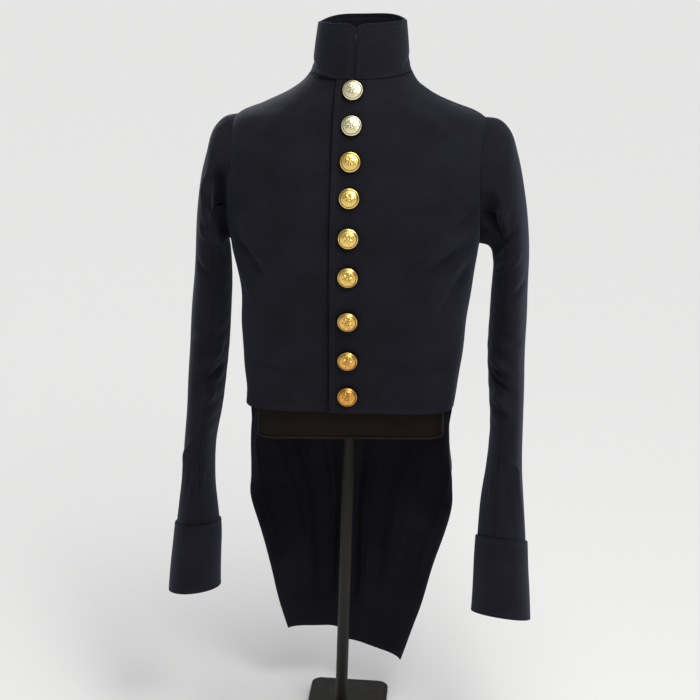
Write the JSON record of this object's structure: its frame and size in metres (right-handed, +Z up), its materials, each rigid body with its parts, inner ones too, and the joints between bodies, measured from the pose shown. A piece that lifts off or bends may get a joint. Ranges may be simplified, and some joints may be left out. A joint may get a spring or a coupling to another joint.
{
  "type": "military tailcoat on dress form",
  "caption": "Single-breasted dark navy tailcoat with standing collar, gilt buttons and deep cuffs, on a limbless dress form with a pole and base plate.",
  "frame": {"origin": "on the underside of the base plate, under the pole's axis", "axes": "+Z up along the pole; -Y is the coat's front; +X is the wearer's left"},
  "size_m": [0.496, 0.3127, 1.0155],
  "materials": {
    "navy_wool": "matte",
    "gilt": "satin",
    "form_covering": "matte",
    "brown_board": "satin",
    "dark_metal": "satin"
  },
  "bodies": {
    "root": {"front_left": "navy_wool", "front_right": "navy_wool", "side_body_left": "navy_wool", "side_body_right": "navy_wool", "back_left": "navy_wool", "back_right": "navy_wool", "collar_left": "navy_wool", "collar_right": "navy_wool", "top_sleeve_left": "navy_wool", "top_sleeve_right": "navy_wool", "under_sleeve_left": "navy_wool", "under_sleeve_right": "navy_wool", "cuff_left": "navy_wool", "cuff_right": "navy_wool", "tail_left": "navy_wool", "tail_right": "navy_wool", "button_1": "gilt", "button_2": "gilt", "button_3": "gilt", "button_4": "gilt", "button_5": "gilt", "button_6": "gilt", "button_7": "gilt", "button_8": "gilt", "button_9": "gilt", "form_body": "form_covering", "form_block": "brown_board", "form_rim": "brown_board", "pole": "dark_metal", "base_plate": "dark_metal"}
  },
  "joints": []
}
